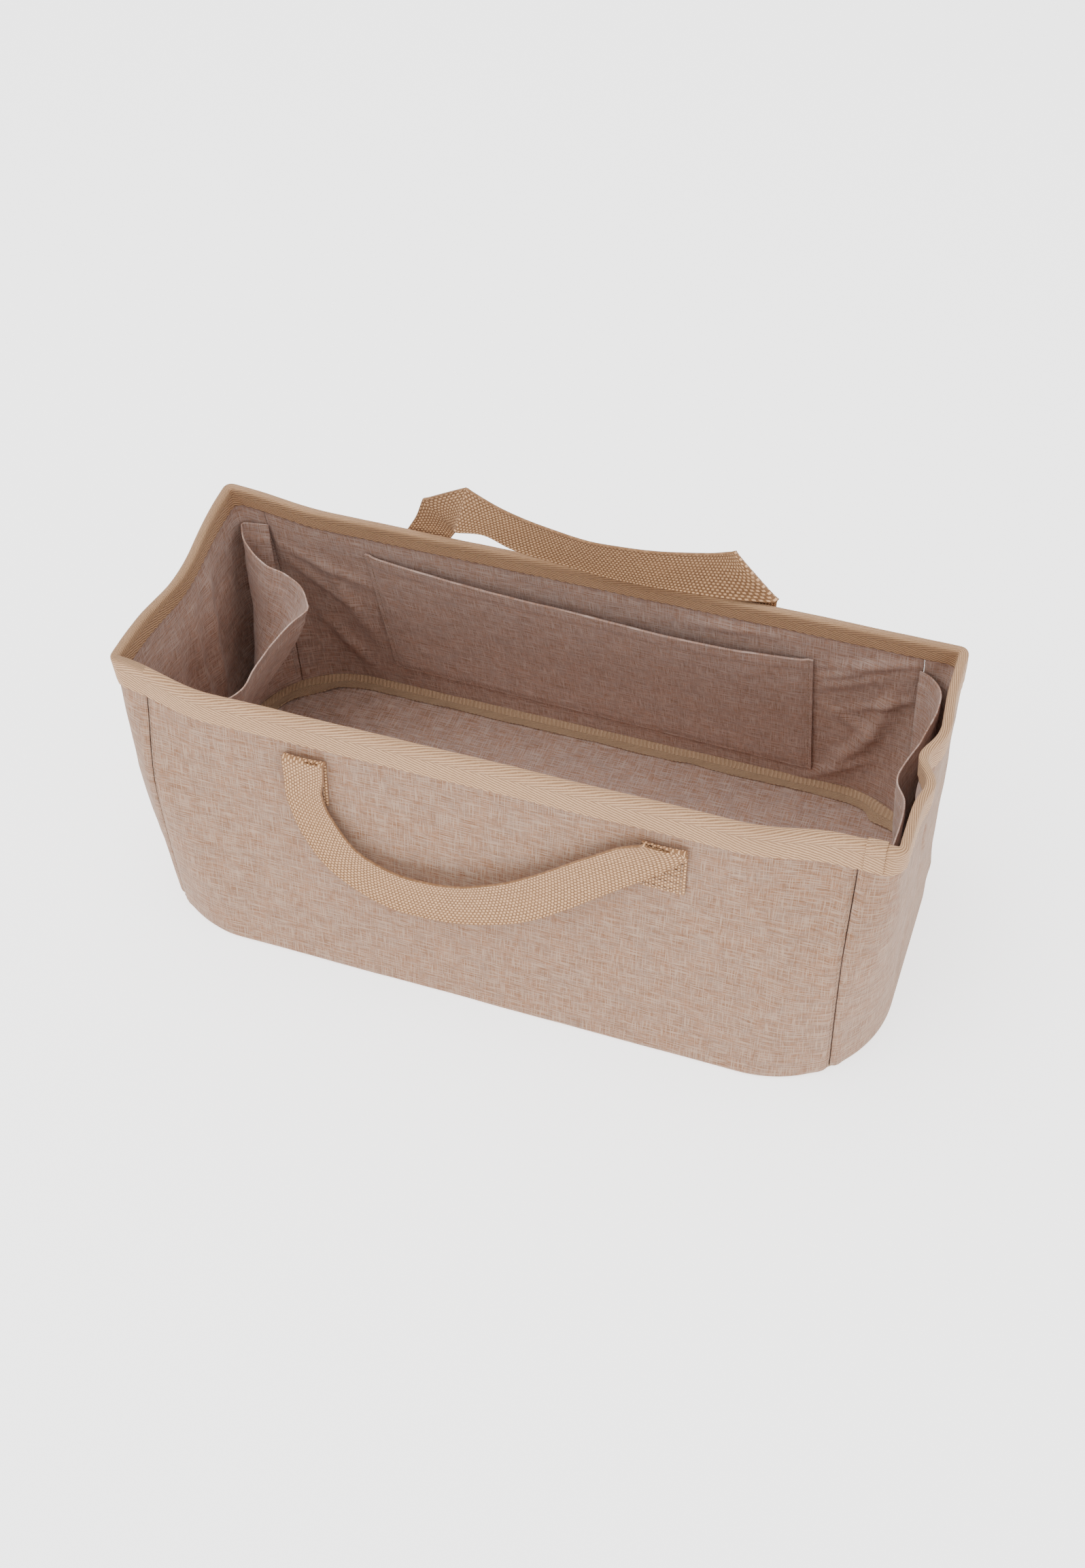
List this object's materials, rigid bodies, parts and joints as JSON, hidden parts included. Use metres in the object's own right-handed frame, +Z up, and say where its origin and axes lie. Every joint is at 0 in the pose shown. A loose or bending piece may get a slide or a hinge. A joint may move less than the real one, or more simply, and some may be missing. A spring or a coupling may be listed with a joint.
{
  "type": "fabric storage bin",
  "caption": "Long open fabric storage bin with stiffened walls, soft folded ends, bound rim, inside pockets and two webbing handles.",
  "frame": {"origin": "middle of the underside of the base", "axes": "+X along the bin's length, +Y from the front wall to the back wall, +Z up"},
  "size_m": [0.5366, 0.262, 0.2565],
  "materials": {
    "shell_cloth": "melange plain weave",
    "lining_cloth": "melange plain weave, shaded",
    "pocket_cloth": "melange plain weave",
    "binding_tape": "herringbone twill tape",
    "handle_webbing": "plain woven webbing",
    "stiffener_board": "pressed fibre board",
    "sewing_thread": "spun thread"
  },
  "bodies": {
    "bin": {"base_outer_cloth": "shell_cloth", "front_outer_cloth": "shell_cloth", "back_outer_cloth": "shell_cloth", "left_end_outer_cloth": "shell_cloth", "right_end_outer_cloth": "shell_cloth", "floor_lining": "lining_cloth", "front_lining": "lining_cloth", "back_lining": "lining_cloth", "left_end_lining": "lining_cloth", "right_end_lining": "lining_cloth", "back_pocket": "pocket_cloth", "left_end_pocket": "pocket_cloth", "right_end_pocket": "pocket_cloth", "rim_binding": "binding_tape", "floor_seam_binding": "binding_tape", "front_handle_left_end": "handle_webbing", "front_handle_right_end": "handle_webbing", "back_handle_left_end": "handle_webbing", "back_handle_right_end": "handle_webbing", "base_board": "stiffener_board", "front_board": "stiffener_board", "back_board": "stiffener_board", "front_handle_left_stitching": "sewing_thread", "front_handle_right_stitching": "sewing_thread", "back_handle_left_stitching": "sewing_thread", "back_handle_right_stitching": "sewing_thread", "front_left_seam_stitching": "sewing_thread", "front_right_seam_stitching": "sewing_thread", "back_left_seam_stitching": "sewing_thread", "back_right_seam_stitching": "sewing_thread", "back_pocket_stitching": "sewing_thread"},
    "front_handle": {"front_handle": "handle_webbing"},
    "back_handle": {"back_handle": "handle_webbing"}
  },
  "joints": [
    {"name": "front_handle_swing", "type": "hinge", "parent": "bin", "child": "front_handle", "pos_m": [0, -0.10318, 0.182], "axis": [-1, 0, 0], "range_deg": [0, 170]},
    {"name": "back_handle_swing", "type": "hinge", "parent": "bin", "child": "back_handle", "pos_m": [0, 0.10318, 0.182], "axis": [-1, 0, 0], "range_deg": [0, 170]}
  ]
}
